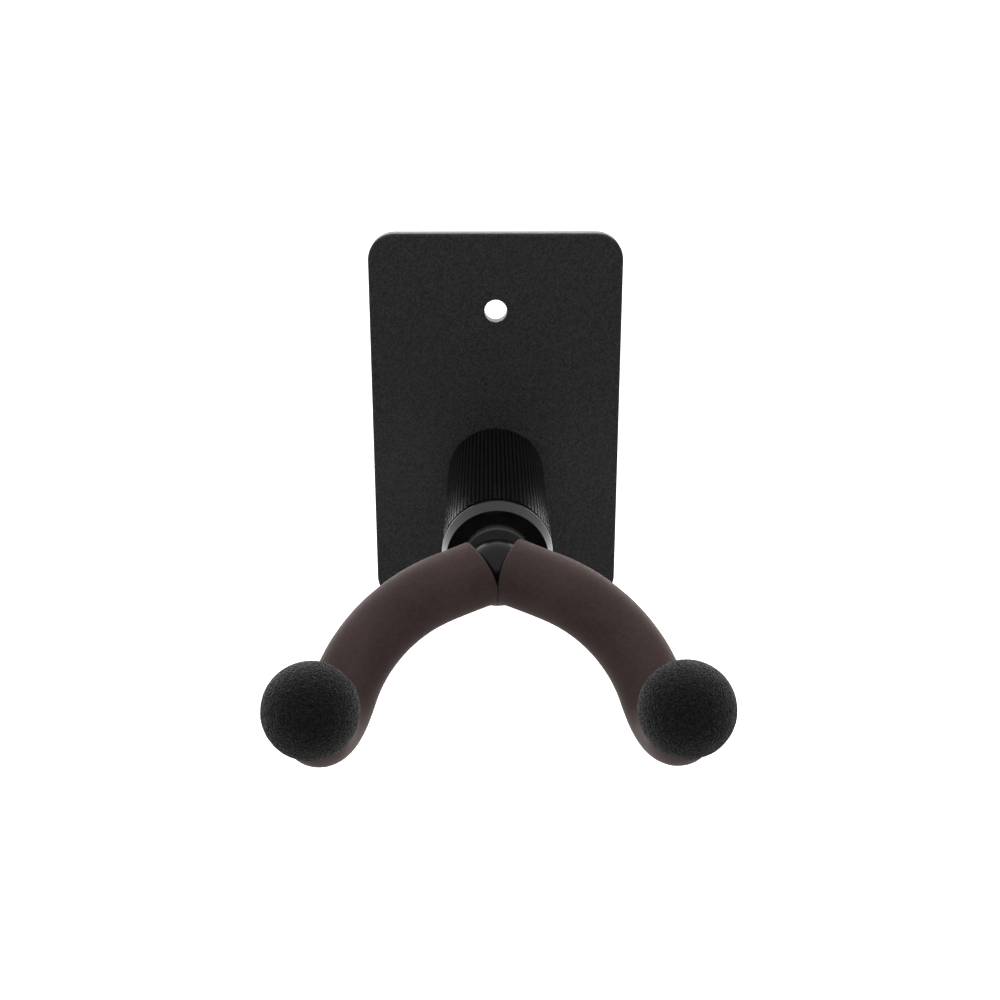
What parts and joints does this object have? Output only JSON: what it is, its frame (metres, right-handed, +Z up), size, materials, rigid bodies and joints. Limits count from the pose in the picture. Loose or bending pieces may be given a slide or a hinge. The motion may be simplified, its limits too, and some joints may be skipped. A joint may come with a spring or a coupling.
{
  "type": "wall guitar hanger",
  "caption": "Wall plate with a ribbed barrel that carries a freely swivelling, foam-padded yoke with round rubber ends, for hanging an instrument by its headstock.",
  "frame": {"origin": "centre of the wall plate's flat back face, on the wall", "axes": "+Z up, +X to the right as seen from the room, +Y into the wall; the barrel and yoke stand out towards -Y"},
  "size_m": [0.112, 0.1383, 0.118],
  "materials": {
    "plate_plastic": "fine leather-like moulded grain",
    "barrel_plastic": "satin moulded plastic with fine ribs",
    "gloss_trim": "glossy black",
    "washer_plastic": "satin black",
    "nylon": "black nylon",
    "nylon_insert": "natural nylon",
    "black_steel": "black painted steel",
    "rod_steel": "bright drawn steel",
    "zinc_steel": "zinc plated",
    "spring_steel": "blued spring steel",
    "brown_foam": "dark brown closed-cell foam",
    "ball_rubber": "black cellular rubber"
  },
  "bodies": {
    "base": {"back_plate": "plate_plastic", "barrel": "barrel_plastic", "barrel_screws": "zinc_steel", "collar_ring": "gloss_trim", "bezel_ring": "gloss_trim", "rear_bush": "nylon", "front_bush": "nylon", "thrust_washer": "washer_plastic"},
    "yoke": {"swivel_shaft": "black_steel", "yoke_rod_left": "rod_steel", "yoke_rod_right": "rod_steel", "foam_sleeve_left": "brown_foam", "foam_sleeve_right": "brown_foam", "end_ball_left": "ball_rubber", "end_ball_right": "ball_rubber", "rear_washer": "zinc_steel", "disc_spring": "spring_steel", "lock_nut": "zinc_steel", "lock_nut_insert": "nylon_insert"}
  },
  "joints": [
    {"name": "yoke_swivel", "type": "hinge", "parent": "base", "child": "yoke", "pos_m": [0, -0.0427, -0.0157], "axis": [0, -1, 0], "continuous": true}
  ]
}
